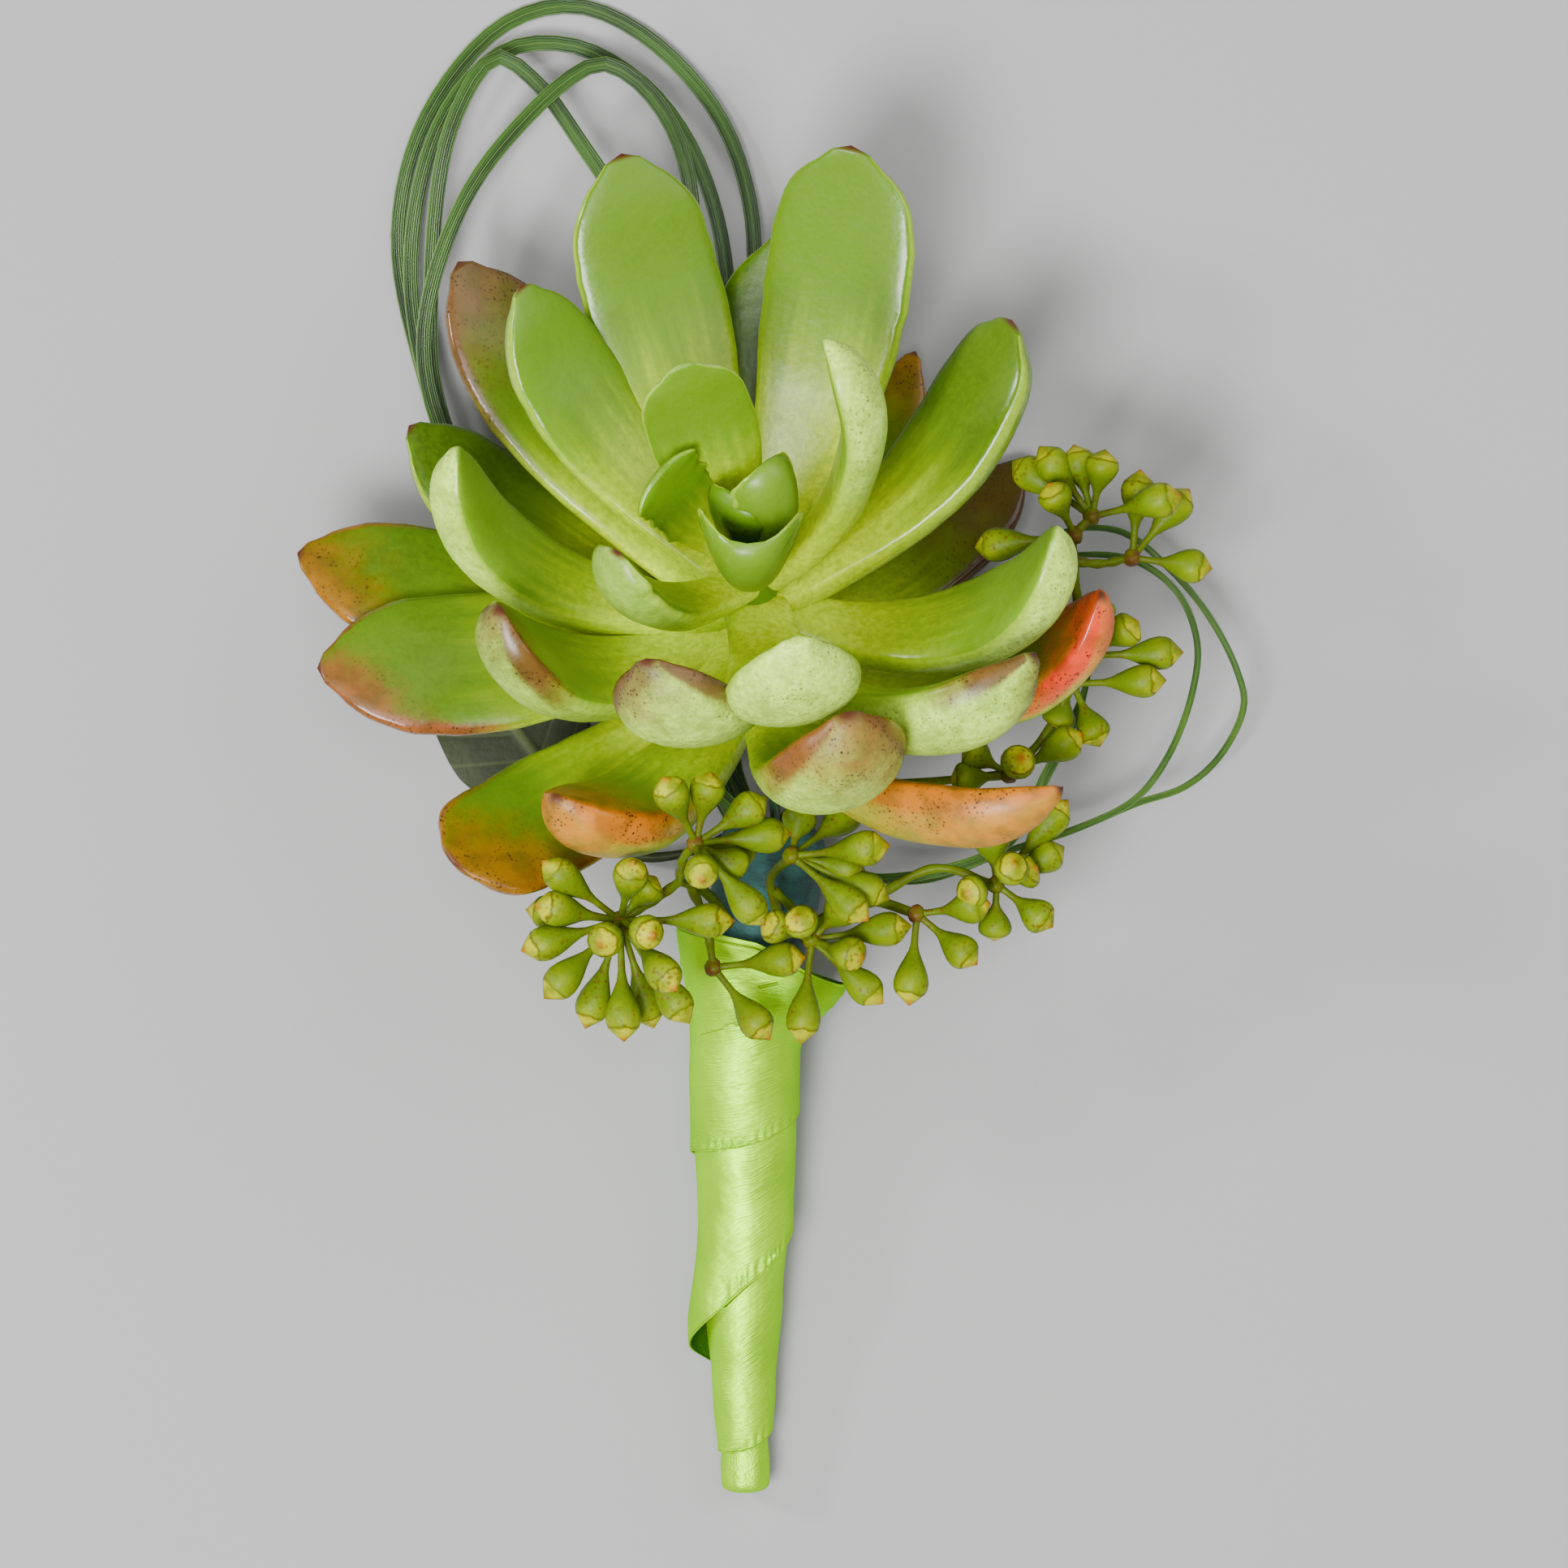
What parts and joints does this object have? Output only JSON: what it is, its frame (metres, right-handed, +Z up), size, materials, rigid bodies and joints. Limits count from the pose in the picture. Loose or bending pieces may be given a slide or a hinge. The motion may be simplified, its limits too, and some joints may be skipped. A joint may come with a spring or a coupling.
{
  "type": "boutonniere",
  "caption": "Succulent boutonniere lying on its back: fleshy rosette with seeded eucalyptus, looped grass and a backing leaf, its taped stems wrapped in satin ribbon.",
  "frame": {"origin": "middle of the footprint of the boutonniere as it lies on its back, on the surface that it lies on", "axes": "+X to the right of the flower's face as seen from above, +Y from the handle to the head, +Z up out of the flower's face"},
  "size_m": [0.094, 0.1508, 0.053],
  "materials": {
    "succulent_leaf": "waxy green leaf, yellow-green at its base, powdery and pale underneath, some tips blushed red or orange",
    "eucalyptus_bud": "satin yellow-green seed buds with ochre pointed caps on olive stalks and brown knots",
    "lily_grass": "satin dark green blade, finely ribbed along its length",
    "bear_grass": "satin green fine blade",
    "backing_leaf": "dull dark grey-green leaf with a paler midrib",
    "florist_wire": "green enamelled steel wire",
    "floral_tape": "waxed, stretched crepe-paper tape in dark teal green",
    "satin_ribbon": "lime-green satin, smooth and glossy along its length"
  },
  "bodies": {
    "root": {"succulent_rosette": "succulent_leaf", "eucalyptus_spray_left": "eucalyptus_bud", "eucalyptus_spray_middle": "eucalyptus_bud", "eucalyptus_spray_lower": "eucalyptus_bud", "eucalyptus_spray_right": "eucalyptus_bud", "lily_grass_loop_1": "lily_grass", "lily_grass_loop_2": "lily_grass", "lily_grass_loop_3": "lily_grass", "lily_grass_loop_4": "lily_grass", "bear_grass_blade_1": "bear_grass", "bear_grass_blade_2": "bear_grass", "bear_grass_blade_3": "bear_grass", "backing_leaf": "backing_leaf", "florist_wire": "florist_wire", "floral_tape": "floral_tape", "satin_ribbon": "satin_ribbon"}
  },
  "joints": []
}
